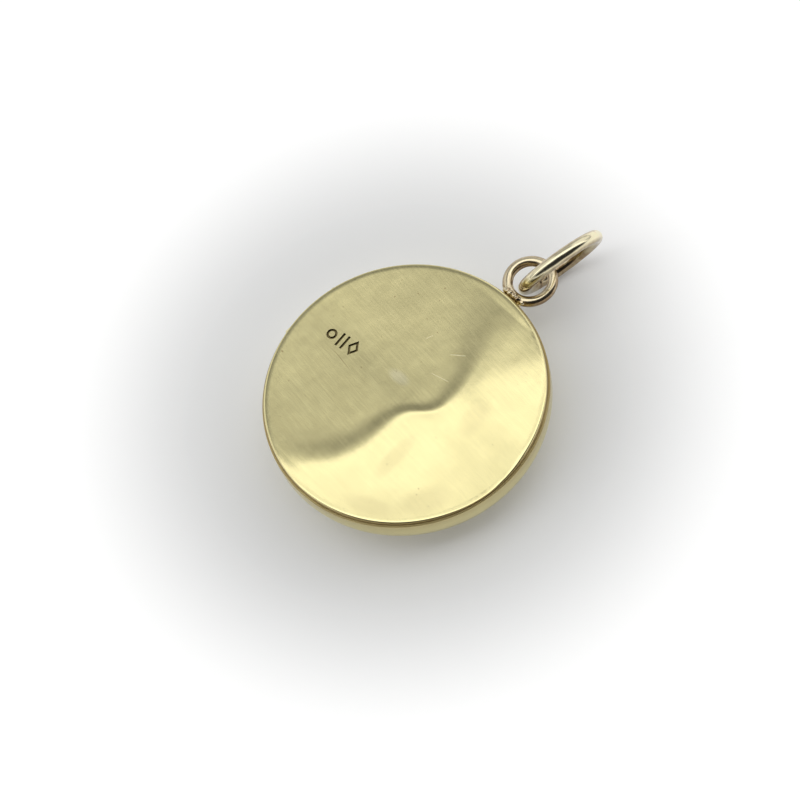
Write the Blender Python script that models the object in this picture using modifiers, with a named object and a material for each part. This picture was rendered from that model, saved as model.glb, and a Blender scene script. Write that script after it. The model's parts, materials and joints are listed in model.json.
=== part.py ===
"""Round gold locket, lying on its domed front with its flat back up.

The flat back is a lid. It turns on a hinge whose barrel is sunk in the case wall, and a thin rim under
it presses into the case to keep it shut. Both halves hold a blank picture card under clear glazing and
a frame. A soldered wire loop carries a free jump ring for a chain.

Frame: origin at the middle of the small flat on the front, +Z out of the back, +Y towards the loop,
hinge on the -X side. All sizes are in metres.
"""
import math

import bpy
from mathutils import Matrix, Vector

MM = 0.001
GAP = 0.03 * MM                     # between two pieces that meet

# Case: a straight wall, a round shoulder and a shallow dome down to a small flat
CASE_RADIUS = 10.08 * MM
CASE_WALL = 0.43 * MM
SIDE_HEIGHT = 1.05 * MM             # straight part of the case wall
SHOULDER_RADIUS = 2.0 * MM
SHOULDER_TURN = math.radians(76.0)
FLAT_RADIUS = 2.5 * MM
RIM_CHAMFER = 0.07 * MM
TURN_STEPS = 64

# Lid
LID_RADIUS = 9.93 * MM
LID_THICKNESS = 0.32 * MM
LID_TOP_ROUND = 0.14 * MM
LID_FOOT_ROUND = 0.05 * MM

# Rim under the lid that presses into the case
SNAP_OUTER = 9.57 * MM
SNAP_BEAD = 9.61 * MM
SNAP_INNER = 9.25 * MM
SNAP_DEPTH = 0.90 * MM
SNAP_GAP_HALF = 6.1 * MM            # half the width left out at the hinge, so that the rim clears the wall

# Pictures
CARD_RADIUS = 8.45 * MM
CARD_THICKNESS = 0.15 * MM
GLAZING_THICKNESS = 0.25 * MM
SEAT_RADIUS = 8.62 * MM
SEAT_THICKNESS = 0.20 * MM
SEAT_HEIGHT = 1.52 * MM             # underside of the seat
FRAME_OUTER = 8.78 * MM
FRAME_REBATE = 8.49 * MM
FRAME_SIGHT = 7.95 * MM             # inner edge that shows
FRAME_LIP = 0.28 * MM
FRAME_CHAMFER = 0.14 * MM
PICTURE_STEPS = 56

# Hinge
BARREL_RADIUS = 0.45 * MM
BORE_RADIUS = 0.23 * MM
PIN_RADIUS = 0.20 * MM
KNUCKLES = 5
KNUCKLE_PITCH = 0.94 * MM
HINGE_X = -9.60 * MM
NOTCH_HALF = 2.82 * MM
NOTCH_DEPTH = 2.0 * MM              # below the top of the lid
BED_HALF = 2.75 * MM
BED_THICKNESS = 0.20 * MM
BED_TOP = 0.30 * MM                 # above the hinge axis
BED_REACH = 0.10 * MM               # foot, out beyond the hinge axis
BED_FOOT = 0.30 * MM

# Wire loop and jump ring
LOOP_RADIUS = 1.58 * MM
LOOP_WIRE = 0.395 * MM
LOOP_Y = 12.08 * MM
LOOP_DEPTH = 1.0 * MM               # below the top of the lid
SOLDER_SIZE = Vector((1.0, 0.50, 0.62)) * MM
SOLDER_Y = 10.28 * MM
RING_RADIUS = 3.07 * MM
RING_WIRE = 0.47 * MM
RING_INNER = Vector((0.0, 11.49, -1.115)) * MM        # its near end, inside the loop, from the lid's top
RING_OUTWARD = Vector((0.191, 0.978, 0.080)).normalized()   # from there to its far end
RING_ACROSS = Vector((0.333, -0.183, 0.925))          # across the ring, in its plane
RING_PIVOT_OUT = 0.1 * MM           # it swings about this point, outward of the loop's wire at the wall
RING_JOINT = math.radians(232.0)                      # where its two ends meet, from outward
RING_JOINT_GAP = 0.03 * MM
RING_STEPS = 48


def arc(centre_x, centre_z, radius, start, end, steps):
    """Points of an arc in a turning profile, both ends included, angles from +X towards +Z."""
    turns = [start + (end - start) * i / steps for i in range(steps + 1)]
    return [(centre_x + radius * math.cos(a), centre_z + radius * math.sin(a)) for a in turns]


# Heights that follow from the sizes above
DOME_RADIUS = ((CASE_RADIUS - SHOULDER_RADIUS + SHOULDER_RADIUS * math.cos(SHOULDER_TURN))
               / math.cos(SHOULDER_TURN))
FLAT_TURN = math.acos(FLAT_RADIUS / DOME_RADIUS)
DOME_RISE = DOME_RADIUS * (math.sin(FLAT_TURN) - math.sin(SHOULDER_TURN))
SHOULDER_Z = DOME_RISE + SHOULDER_RADIUS * math.sin(SHOULDER_TURN)
RIM_Z = SHOULDER_Z + SIDE_HEIGHT
LID_Z = RIM_Z + GAP                 # underside of the lid
TOP_Z = LID_Z + LID_THICKNESS
HINGE_Z = LID_Z - GAP - BARREL_RADIUS
LOOP_Z = TOP_Z - LOOP_DEPTH


def remove_all_objects():
    for obj in list(bpy.data.objects):
        bpy.data.objects.remove(obj, do_unlink=True)


def new_collection(name):
    collection = bpy.data.collections.new(name)
    bpy.context.scene.collection.children.link(collection)
    return collection


def new_material(name, colour, roughness, metallic, alpha=1.0):
    material = bpy.data.materials.new(name)
    material.use_nodes = True
    shader = material.node_tree.nodes["Principled BSDF"]
    shader.inputs["Base Color"].default_value = (*colour, 1.0)
    shader.inputs["Roughness"].default_value = roughness
    shader.inputs["Metallic"].default_value = metallic
    shader.inputs["Alpha"].default_value = alpha
    return material


def satin_gold(name):
    return new_material(name, (0.80, 0.70, 0.42), 0.38, 1.0)


def polished_gold(name):
    return new_material(name, (0.86, 0.72, 0.48), 0.14, 1.0)


def paper(name):
    return new_material(name, (0.90, 0.88, 0.82), 0.75, 0.0)


def clear_plastic(name):
    return new_material(name, (0.95, 0.97, 0.97), 0.05, 0.0, alpha=0.35)


def put_in(obj, collection, material=None):
    """Move an object into one collection and give it its material."""
    for other in list(obj.users_collection):
        other.objects.unlink(obj)
    collection.objects.link(obj)
    if material is not None:
        obj.data.materials.append(material)
    return obj


def turned(name, profile, closed, steps, collection, material):
    """A solid turned about Z from a profile of (x, z) points."""
    mesh = bpy.data.meshes.new(name)
    edges = [(i, i + 1) for i in range(len(profile) - 1)]
    if closed:
        edges.append((len(profile) - 1, 0))
    mesh.from_pydata([(x, 0.0, z) for x, z in profile], edges, [])
    obj = bpy.data.objects.new(name, mesh)
    screw = obj.modifiers.new("Turn", "SCREW")
    screw.axis = "Z"
    screw.steps = steps
    screw.render_steps = steps
    screw.use_merge_vertices = True
    screw.merge_threshold = 1e-7
    screw.use_smooth_shade = True
    return put_in(obj, collection, material)


def disc(name, radius, bottom, thickness, collection, material):
    bpy.ops.mesh.primitive_cylinder_add(vertices=PICTURE_STEPS, radius=radius, depth=thickness,
                                        location=(0.0, 0.0, bottom + thickness / 2))
    obj = bpy.context.object
    obj.name = name
    obj.data.shade_smooth()
    obj.data.set_sharp_from_angle(angle=math.radians(40))
    return put_in(obj, collection, material)


def box_cutter(name, low, high, collection):
    low = Vector(low)
    high = Vector(high)
    bpy.ops.mesh.primitive_cube_add(size=1.0, location=(low + high) / 2)
    cutter = bpy.context.object
    cutter.name = name
    cutter.scale = high - low
    return hide_cutter(cutter, collection)


def hide_cutter(cutter, collection):
    cutter.hide_render = True
    cutter.display_type = "WIRE"
    return put_in(cutter, collection)


def cut(obj, cutter):
    boolean = obj.modifiers.new("Cut " + cutter.name, "BOOLEAN")
    boolean.operation = "DIFFERENCE"
    boolean.solver = "EXACT"
    boolean.object = cutter
    return obj


def pivot_at(name, place, collection):
    pivot = bpy.data.objects.new(name, None)
    pivot.location = place
    pivot.empty_display_size = 2 * MM
    collection.objects.link(pivot)
    return pivot


def hang_on(pivot, *pieces):
    """Parent pieces to a pivot without moving them."""
    for piece in pieces:
        piece.location = piece.location - pivot.location
        piece.parent = pivot


def make_front_cover(parts, cutters):
    inner_turn = CASE_RADIUS - SHOULDER_RADIUS
    dome_z = DOME_RADIUS * math.sin(FLAT_TURN)
    floor = arc(0.0, dome_z, DOME_RADIUS - CASE_WALL, -FLAT_TURN, -SHOULDER_TURN, 3)
    hollow = arc(inner_turn, SHOULDER_Z, SHOULDER_RADIUS - CASE_WALL, -SHOULDER_TURN, 0.0, 6)
    shoulder = arc(inner_turn, SHOULDER_Z, SHOULDER_RADIUS, 0.0, -SHOULDER_TURN, 8)
    dome = arc(0.0, dome_z, DOME_RADIUS, -SHOULDER_TURN, -FLAT_TURN, 4)
    profile = [(0.0, floor[0][1])] + floor + hollow[1:]
    profile += [(CASE_RADIUS - CASE_WALL, RIM_Z), (CASE_RADIUS - RIM_CHAMFER, RIM_Z)]
    profile += [(CASE_RADIUS, RIM_Z - RIM_CHAMFER)] + shoulder + dome[1:] + [(0.0, 0.0)]
    cover = turned("front_cover", profile, False, TURN_STEPS, parts, satin_gold("front_cover"))
    notch = box_cutter("hinge_notch", (-CASE_RADIUS - MM, -NOTCH_HALF, TOP_Z - NOTCH_DEPTH),
                       (-CASE_RADIUS + MM, NOTCH_HALF, TOP_Z + MM), cutters)
    return cut(cover, notch)


def make_back_cover(parts):
    top = arc(LID_RADIUS - LID_TOP_ROUND, TOP_Z - LID_TOP_ROUND, LID_TOP_ROUND, math.pi / 2, 0.0, 3)
    foot = arc(LID_RADIUS - LID_FOOT_ROUND, LID_Z + LID_FOOT_ROUND, LID_FOOT_ROUND, 0.0, -math.pi / 2, 1)
    profile = [(0.0, TOP_Z)] + top + foot + [(0.0, LID_Z)]
    return turned("back_cover", profile, False, TURN_STEPS, parts, satin_gold("back_cover"))


def make_snap_rim(parts, cutters):
    top = LID_Z - GAP
    profile = [(SNAP_OUTER, top), (SNAP_BEAD, top - SNAP_DEPTH * 0.5), (SNAP_OUTER, top - SNAP_DEPTH),
               (SNAP_INNER, top - SNAP_DEPTH), (SNAP_INNER, top)]
    rim = turned("snap_rim", profile, True, TURN_STEPS, parts, satin_gold("snap_rim"))
    gap = box_cutter("rim_gap", (-LID_RADIUS - MM, -SNAP_GAP_HALF, LID_Z - 2 * MM),
                     (-LID_RADIUS + 3.5 * MM, SNAP_GAP_HALF, LID_Z + MM), cutters)
    return cut(rim, gap)


def make_picture(side, back_z, inward, parts):
    """Card, glazing and frame on a flat face at back_z, each lying inward (+1 up, -1 down) of the last."""
    def span(start, thickness):
        far = start + inward * thickness
        return min(start, far)

    card_z = back_z + inward * GAP
    glazing_z = card_z + inward * (CARD_THICKNESS + GAP)
    lip_z = glazing_z + inward * (GLAZING_THICKNESS + GAP)
    face_z = lip_z + inward * FRAME_LIP
    card = disc("picture_card_" + side, CARD_RADIUS, span(card_z, CARD_THICKNESS), CARD_THICKNESS,
                parts, paper("picture_card_" + side))
    glazing = disc("picture_glazing_" + side, CARD_RADIUS, span(glazing_z, GLAZING_THICKNESS),
                   GLAZING_THICKNESS, parts, clear_plastic("picture_glazing_" + side))
    profile = [(FRAME_OUTER, face_z), (FRAME_OUTER, card_z), (FRAME_REBATE, card_z),
               (FRAME_REBATE, lip_z), (FRAME_SIGHT, lip_z),
               (FRAME_SIGHT + FRAME_CHAMFER, face_z)]
    if inward < 0:
        profile.reverse()
    frame = turned("picture_frame_" + side, profile, True, PICTURE_STEPS, parts,
                   polished_gold("picture_frame_" + side))
    return [card, glazing, frame]


def make_hinge_bed(parts):
    """An angled strip that closes the notch behind and below the barrel."""
    back = HINGE_X + BARREL_RADIUS + GAP
    foot_top = HINGE_Z - BARREL_RADIUS - GAP
    outline = [(HINGE_X - BED_REACH, foot_top), (HINGE_X - BED_REACH, foot_top - BED_FOOT),
               (back + BED_THICKNESS, foot_top - BED_FOOT), (back + BED_THICKNESS, HINGE_Z + BED_TOP),
               (back, HINGE_Z + BED_TOP), (back, foot_top)]
    curve = bpy.data.curves.new("hinge_bed", "CURVE")
    curve.dimensions = "2D"
    curve.fill_mode = "BOTH"
    curve.extrude = BED_HALF
    spline = curve.splines.new("POLY")
    spline.points.add(len(outline) - 1)
    for point, (x, z) in zip(spline.points, outline):
        point.co = (x, z, 0.0, 1.0)
    spline.use_cyclic_u = True
    bed = bpy.data.objects.new("hinge_bed", curve)
    bed.rotation_euler = (math.pi / 2, 0.0, 0.0)
    return put_in(bed, parts, satin_gold("hinge_bed"))


def make_knuckle(name, index, parts):
    """One tube of the hinge barrel; index counts from the -Y end."""
    half = (KNUCKLE_PITCH - GAP) / 2
    profile = [(BARREL_RADIUS, half), (BARREL_RADIUS, -half), (BORE_RADIUS, -half), (BORE_RADIUS, half)]
    knuckle = turned(name, profile, True, 24, parts, satin_gold(name))
    knuckle.rotation_euler = (math.pi / 2, 0.0, 0.0)
    knuckle.location = (HINGE_X, (index - (KNUCKLES - 1) / 2) * KNUCKLE_PITCH, HINGE_Z)
    return knuckle


def make_hinge_pin(parts):
    bpy.ops.mesh.primitive_cylinder_add(vertices=20, radius=PIN_RADIUS, depth=KNUCKLES * KNUCKLE_PITCH,
                                        location=(HINGE_X, 0.0, HINGE_Z),
                                        rotation=(math.pi / 2, 0.0, 0.0))
    pin = bpy.context.object
    pin.name = "hinge_pin"
    pin.data.shade_smooth()
    pin.data.set_sharp_from_angle(angle=math.radians(40))
    return put_in(pin, parts, polished_gold("hinge_pin"))


def make_hinge(parts):
    """Case knuckles at the ends and middle, lid knuckles between them."""
    lid_knuckles = []
    counts = {"case": 0, "lid": 0}
    for index in range(KNUCKLES):
        side = "lid" if index % 2 else "case"
        counts[side] += 1
        knuckle = make_knuckle("hinge_knuckle_%s_%d" % (side, counts[side]), index, parts)
        if side == "lid":
            lid_knuckles.append(knuckle)
    make_hinge_bed(parts)
    make_hinge_pin(parts)
    return lid_knuckles


def add_torus(name, wire, collection):
    bpy.ops.mesh.primitive_torus_add(major_segments=40, minor_segments=10, major_radius=LOOP_RADIUS,
                                     minor_radius=wire, location=(0.0, LOOP_Y, LOOP_Z))
    torus = bpy.context.object
    torus.name = name
    torus.data.shade_smooth()
    return torus


def make_bail(parts, cutters):
    loop = add_torus("bail_loop", LOOP_WIRE, parts)
    put_in(loop, parts, polished_gold("bail_loop"))
    bpy.ops.mesh.primitive_uv_sphere_add(segments=24, ring_count=14, radius=1.0,
                                         location=(0.0, SOLDER_Y, LOOP_Z))
    solder = bpy.context.object
    solder.name = "bail_solder"
    solder.data.transform(Matrix.Diagonal(SOLDER_SIZE.to_4d()))
    solder.data.shade_smooth()
    put_in(solder, parts, polished_gold("bail_solder"))
    groove = add_torus("loop_groove", LOOP_WIRE + GAP, cutters)
    cut(solder, hide_cutter(groove, cutters))
    bpy.ops.mesh.primitive_cylinder_add(vertices=TURN_STEPS * 2, radius=CASE_RADIUS + GAP,
                                        depth=8 * MM, location=(0.0, 0.0, LOOP_Z))
    wall = bpy.context.object
    wall.name = "case_wall_clearance"
    cut(solder, hide_cutter(wall, cutters))


def make_jump_ring(parts):
    """A round wire bent into a ring, with its two ends butted together."""
    across = (RING_ACROSS - RING_ACROSS.project(RING_OUTWARD)).normalized()
    normal = RING_OUTWARD.cross(across)
    half_gap = RING_JOINT_GAP / RING_RADIUS / 2
    curve = bpy.data.curves.new("jump_ring", "CURVE")
    curve.dimensions = "3D"
    curve.bevel_depth = RING_WIRE
    curve.bevel_resolution = 3
    curve.use_fill_caps = True
    spline = curve.splines.new("POLY")
    spline.points.add(RING_STEPS)
    for i, point in enumerate(spline.points):
        turn = RING_JOINT + half_gap + (2 * math.pi - 2 * half_gap) * i / RING_STEPS
        point.co = (RING_RADIUS * (1.0 + math.cos(turn)), RING_RADIUS * math.sin(turn), 0.0, 1.0)
    ring = bpy.data.objects.new("jump_ring", curve)
    ring.rotation_euler = Matrix((RING_OUTWARD, across, normal)).transposed().to_euler()
    ring.location = RING_INNER + Vector((0.0, 0.0, TOP_Z))
    loop_wire = Vector((0.0, LOOP_Y - LOOP_RADIUS, LOOP_Z))
    pivot = pivot_at("jump_ring_swing", loop_wire + RING_OUTWARD * RING_PIVOT_OUT, parts)
    hang_on(pivot, ring)
    return put_in(ring, parts, polished_gold("jump_ring"))


def main():
    remove_all_objects()
    parts = new_collection("locket")
    cutters = new_collection("cutters")
    make_front_cover(parts, cutters)
    seat = disc("picture_seat_front", SEAT_RADIUS, SEAT_HEIGHT, SEAT_THICKNESS, parts,
                satin_gold("picture_seat_front"))
    make_picture("front", SEAT_HEIGHT + SEAT_THICKNESS, 1, parts)
    lid = [make_back_cover(parts), make_snap_rim(parts, cutters)]
    lid += make_picture("back", LID_Z, -1, parts)
    lid += make_hinge(parts)
    hinge = pivot_at("lid_hinge", (HINGE_X, 0.0, HINGE_Z), parts)
    hang_on(hinge, *lid)
    make_bail(parts, cutters)
    make_jump_ring(parts)


main()
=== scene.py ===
import json
import math

import bmesh
import bpy
from mathutils import Euler, Matrix, Vector, noise


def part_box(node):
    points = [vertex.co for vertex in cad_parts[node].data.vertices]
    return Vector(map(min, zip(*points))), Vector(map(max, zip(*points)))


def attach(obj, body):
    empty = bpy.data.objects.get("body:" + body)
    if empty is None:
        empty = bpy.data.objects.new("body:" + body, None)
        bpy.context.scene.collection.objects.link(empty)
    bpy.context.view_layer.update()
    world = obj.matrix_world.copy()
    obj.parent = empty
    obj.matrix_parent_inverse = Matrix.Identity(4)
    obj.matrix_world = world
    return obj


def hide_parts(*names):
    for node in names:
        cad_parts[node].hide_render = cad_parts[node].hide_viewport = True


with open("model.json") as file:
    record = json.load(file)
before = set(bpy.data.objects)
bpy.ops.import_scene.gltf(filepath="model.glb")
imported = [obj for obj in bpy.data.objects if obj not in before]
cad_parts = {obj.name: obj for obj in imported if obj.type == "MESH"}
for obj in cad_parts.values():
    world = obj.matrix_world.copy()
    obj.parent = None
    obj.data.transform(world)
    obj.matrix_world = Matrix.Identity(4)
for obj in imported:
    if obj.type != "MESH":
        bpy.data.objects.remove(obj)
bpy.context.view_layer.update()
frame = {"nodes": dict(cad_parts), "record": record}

MM = 0.001

# Places and sizes that come from the frame
LID_LOW, LID_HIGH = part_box("back_cover")
CASE_LOW, CASE_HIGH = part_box("front_cover")
LOOP_LOW, LOOP_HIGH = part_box("bail_loop")
PIN_LOW, PIN_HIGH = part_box("hinge_pin")
SNAP_LOW, SNAP_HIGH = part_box("snap_rim")
BED_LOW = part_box("hinge_bed")[0]
MOUNTS = {mount["name"]: mount for mount in frame["record"]["mounts"]}
LID_RADIUS = (LID_HIGH[1] - LID_LOW[1]) / 2
LID_TOP = LID_HIGH[2]
LID_FOOT = LID_LOW[2]
CASE_RADIUS = (CASE_HIGH[1] - CASE_LOW[1]) / 2
CASE_TOP = CASE_HIGH[2]
HINGE = (Vector(PIN_LOW) + Vector(PIN_HIGH)) / 2
LOOP_CENTRE = (Vector(LOOP_LOW) + Vector(LOOP_HIGH)) / 2
LOOP_WIRE = (LOOP_HIGH[2] - LOOP_LOW[2]) / 2
LOOP_RADIUS = (LOOP_HIGH[0] - LOOP_LOW[0]) / 2 - LOOP_WIRE
RING_CENTRE = Vector(MOUNTS["chain_eye"]["pos_m"])
RING_NORMAL = Vector(MOUNTS["chain_eye"]["axis"]).normalized()
RING_RADIUS = 3.07 * MM
RING_WIRE = 0.47 * MM

# Shape of the case below its straight wall
SHOULDER_RADIUS = 2.0 * MM
SHOULDER_TURN = math.radians(76.0)
SIDE_HEIGHT = 1.05 * MM
CASE_WALL = 0.43 * MM
FLAT_RADIUS = 2.5 * MM

# The hinge's notch, the snap rim and the pin's bore
NOTCH_HALF = 2.82 * MM              # half its width
NOTCH_PLAY = 0.03 * MM              # its foot lies this far under the hinge bed
SNAP_GAP_HALF = 6.1 * MM            # half the width of the rim's gap at the hinge
SNAP_GAP_DEPTH = 3.5 * MM           # and how far in from the lid's edge it is cut
SNAP_THICKNESS = 0.35 * MM
SNAP_BEAD = 0.04 * MM               # how far the rim's bead stands out
PIN_BORE = 0.225 * MM

# The photograph's viewing direction
VIEW_AZIMUTH = math.radians(65.0)
VIEW_ELEVATION = math.radians(62.4)
VIEW_ROLL = math.radians(20.7)
VIEW_DISTANCE = 220 * MM
FRAME_WIDTH = 55.13 * MM            # what the picture spans at the lid
AIM_LEFT = 0.3067 * MM              # the camera aims this far left of the lid's middle
AIM_DOWN = 0.3446 * MM              # and this far below it, as seen in the picture
SENSOR_WIDTH = 36.0
TOWARDS_CAMERA = Vector((math.sin(VIEW_AZIMUTH) * math.cos(VIEW_ELEVATION),
                         -math.cos(VIEW_AZIMUTH) * math.cos(VIEW_ELEVATION), math.sin(VIEW_ELEVATION)))


# ---------------------------------------------------------------- node helpers

class Shader:
    """A Principled material being built, with short calls for its nodes."""

    def __init__(self, name, colour, roughness, metallic):
        self.material = bpy.data.materials.new(name)
        self.material.use_nodes = True
        self.tree = self.material.node_tree
        self.principled = self.tree.nodes["Principled BSDF"]
        self.principled.inputs["Base Color"].default_value = (*colour, 1.0)
        self.principled.inputs["Roughness"].default_value = roughness
        self.principled.inputs["Metallic"].default_value = metallic
        self.place = self.node("ShaderNodeTexCoord").outputs["Object"]

    def node(self, kind, **settings):
        made = self.tree.nodes.new(kind)
        for key, value in settings.items():
            setattr(made, key, value)
        return made

    def link(self, source, target):
        self.tree.links.new(source, target)

    def mapped(self, scale, turn=0.0):
        """Object coordinates turned about Z, then scaled, so a scale of 1000 makes millimetres."""
        mapping = self.node("ShaderNodeMapping", vector_type="TEXTURE")
        mapping.inputs["Rotation"].default_value = (0.0, 0.0, turn)
        mapping.inputs["Scale"].default_value = [1.0 / s for s in scale]
        self.link(self.place, mapping.inputs["Vector"])
        return mapping.outputs["Vector"]

    def noise(self, scale, detail=2.0, roughness=0.5, turn=0.0, distortion=0.0):
        texture = self.node("ShaderNodeTexNoise")
        texture.inputs["Scale"].default_value = 1.0
        texture.inputs["Detail"].default_value = detail
        texture.inputs["Roughness"].default_value = roughness
        texture.inputs["Distortion"].default_value = distortion
        self.link(self.mapped(scale, turn), texture.inputs["Vector"])
        return texture.outputs["Fac"]

    def span(self, value, low, high, new_low=0.0, new_high=1.0):
        """Remap and clamp a value."""
        node = self.node("ShaderNodeMapRange", interpolation_type="SMOOTHSTEP")
        node.inputs["From Min"].default_value = low
        node.inputs["From Max"].default_value = high
        node.inputs["To Min"].default_value = new_low
        node.inputs["To Max"].default_value = new_high
        self.link(value, node.inputs["Value"])
        return node.outputs["Result"]

    def math(self, operation, a, b=None, c=None):
        node = self.node("ShaderNodeMath", operation=operation)
        for socket, value in zip(node.inputs, (a, b, c)):
            if value is None:
                continue
            if isinstance(value, (int, float)):
                socket.default_value = value
            else:
                self.link(value, socket)
        return node.outputs["Value"]

    def mix(self, amount, first, second):
        """Mix two colours by a value."""
        node = self.node("ShaderNodeMix", data_type="RGBA")
        self.link(amount, node.inputs["Factor"])
        for socket, value in ((node.inputs[6], first), (node.inputs[7], second)):
            if isinstance(value, tuple):
                socket.default_value = (*value, 1.0)
            else:
                self.link(value, socket)
        return node.outputs[2]

    def stain(self, colour, place, share, tint):
        """Mix a tint into a colour at a place, by a share of the place's value."""
        return self.mix(self.math("MULTIPLY", place, share), colour, tint)

    def oval(self, centre, half_length, half_width, turn):
        """One inside a soft-edged oval standing on the XY plane, nought outside; sizes in millimetres."""
        mapping = self.node("ShaderNodeMapping", vector_type="TEXTURE")
        mapping.inputs["Location"].default_value = (centre[0] * MM, centre[1] * MM, 0.0)
        mapping.inputs["Rotation"].default_value = (0.0, 0.0, math.radians(turn))
        mapping.inputs["Scale"].default_value = (half_length * MM, half_width * MM, 1.0)
        self.link(self.place, mapping.inputs["Vector"])
        length = self.node("ShaderNodeVectorMath", operation="LENGTH")
        self.link(mapping.outputs["Vector"], length.inputs[0])
        return self.span(length.outputs["Value"], 0.35, 1.0, 1.0, 0.0)

    def axis(self, name):
        """One of the object's own coordinates."""
        parts = self.node("ShaderNodeSeparateXYZ")
        self.link(self.place, parts.inputs["Vector"])
        return parts.outputs[name]

    def from_axis(self):
        """Distance from the object's Z axis."""
        flat = self.node("ShaderNodeVectorMath", operation="MULTIPLY")
        flat.inputs[1].default_value = (1.0, 1.0, 0.0)
        self.link(self.place, flat.inputs[0])
        length = self.node("ShaderNodeVectorMath", operation="LENGTH")
        self.link(flat.outputs["Vector"], length.inputs[0])
        return length.outputs["Value"]

    def colour(self, value):
        self.link(value, self.principled.inputs["Base Color"])

    def roughness(self, value):
        self.link(value, self.principled.inputs["Roughness"])

    def bump(self, *layers):
        """Stack bumps, each a (height, distance) pair, onto the shader's normal."""
        last = None
        for height, distance in layers:
            node = self.node("ShaderNodeBump")
            node.inputs["Strength"].default_value = 1.0
            node.inputs["Distance"].default_value = distance
            self.link(height, node.inputs["Height"])
            if last is not None:
                self.link(last, node.inputs["Normal"])
            last = node.outputs["Normal"]
        self.link(last, self.principled.inputs["Normal"])


# ---------------------------------------------------------------- materials

GOLD_LIGHT = (0.84, 0.76, 0.41)
GOLD_OLIVE = (0.77, 0.69, 0.36)
GOLD_ROSY = (0.82, 0.75, 0.52)
GOLD_WORN = (0.77, 0.67, 0.46)
GOLD_DULL = (0.62, 0.54, 0.29)
GOLD_RUBBED = (0.88, 0.82, 0.56)
GOLD_SCRATCHED = (0.99, 0.94, 0.66)
GOLD_FRAME = (0.86, 0.73, 0.42)
# Tarnish of the back's marks and specks; the same brown is also painted shade on the case wall, in its seam
# and round the back's edge
TARNISH_AND_SHADE = (0.40, 0.30, 0.13)
# Brown of stains on the wires, and of the painted shade on the jump ring's lowest half
WIRE_GRIME_AND_SHADE = (0.24, 0.15, 0.075)
PUNCH_GRIME = (0.26, 0.22, 0.10)
PUNCH_GRIME_DARK = (0.12, 0.09, 0.04)
ACRYLIC = (0.97, 0.98, 0.98)
ACRYLIC_IOR = 1.49
CARD_SHADE = (0.80, 0.75, 0.65)
CARD_LIGHT = (0.93, 0.91, 0.86)
BRUSH_TURN = math.radians(-9.0)

# Depths of the surface's fine relief
HAIRLINE_DEPTH = 0.0006 * MM
COARSE_LINE_DEPTH = 4.0 * HAIRLINE_DEPTH
MOTTLE_DEPTH = 0.0017 * MM
WIRE_DENT_DEPTH = 0.012 * MM
WIRE_WEAR_DEPTH = 0.001 * MM
CARD_FIBRE_DEPTH = 0.008 * MM
SCUFF_DEPTH = 0.0006 * MM
FLOOR_GRAIN_DEPTH = 0.01 * MM


def brushed_gold(name, light, dark, roughness, brush=BRUSH_TURN, wear_and_shade=None):
    """Satin gold: hairlines one way, cloudy tone and smears. Extra worn marks and painted shade are added
    by a function.
    """
    shader = Shader(name, light, roughness, 1.0)
    clouds = shader.noise((170, 170, 170), detail=3.0)
    hairlines = shader.noise((300, 15000, 9000), detail=3.0, roughness=0.65, turn=brush)
    coarse = shader.noise((260, 5200, 3000), detail=3.0, turn=brush + 0.10)
    smears = shader.noise((330, 620, 500), detail=4.0, roughness=0.55, turn=brush - 0.35, distortion=0.3)
    mottle = shader.noise((1700, 1700, 1700), detail=4.0, roughness=0.65)
    lines = shader.math("ADD", shader.span(hairlines, 0.30, 0.70, 0.0, 0.26),
                        shader.span(coarse, 0.30, 0.70, 0.0, 0.22))
    patches = shader.math("ADD", shader.span(clouds, 0.35, 0.65, 0.0, 0.20),
                          shader.span(mottle, 0.35, 0.65, 0.0, 0.16))
    patches = shader.math("ADD", patches, shader.span(smears, 0.35, 0.65, 0.0, 0.16))
    tone = shader.math("ADD", patches, lines)
    colour = shader.mix(tone, dark, light)
    rough = shader.math("ADD", shader.span(hairlines, 0.25, 0.75, -0.03, 0.03),
                        shader.span(smears, 0.3, 0.7, roughness - 0.01, roughness + 0.02))
    # Worn marks, and painted shade where the function adds it
    if wear_and_shade:
        colour, rough = wear_and_shade(shader, colour, rough)
    shader.colour(colour)
    shader.roughness(rough)
    shader.bump((mottle, MOTTLE_DEPTH), (coarse, COARSE_LINE_DEPTH), (hairlines, HAIRLINE_DEPTH))
    return shader.material


# Wear on the back: centre, half length and half width in millimetres, and turn in degrees
RUBBED_SPOT = ((-1.0, 0.45), 1.15, 0.60, 4.0)
DULL_PATCHES = (((3.20, -4.00), 2.60, 0.80, 94.0), ((7.00, -4.90), 2.60, 1.30, 62.0),
                ((4.60, -7.60), 2.60, 0.90, 22.0), ((5.20, 1.80), 2.00, 1.10, 100.0))
BRIGHT_SCRATCHES = (((0.90, 4.37), 0.80, 0.050, 35.0), ((1.15, 2.33), 1.00, 0.040, 14.0),
                    ((-1.66, 4.02), 0.42, 0.040, 70.0))
DARK_MARKS = (((-5.10, -1.30), 1.40, 0.030, -8.0), ((-8.68, -3.66), 0.14, 0.09, 0.0),
              ((-3.60, 7.40), 0.09, 0.08, 0.0))

# The brown line round the back, a painted dark reflection on its edge, starts and is full this far in from
# the edge
EDGE_SHADE_INSIDE = 0.055 * MM
EDGE_SHADE_FULL = 0.01 * MM

# The painted shade on the wall starts this far below its top, and thickens in the seam
WALL_SHADE_REACH = 1.3 * MM
SEAM_SHADE_REACH = 0.13 * MM
SEAM_SHADE_FULL = 0.03 * MM


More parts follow.
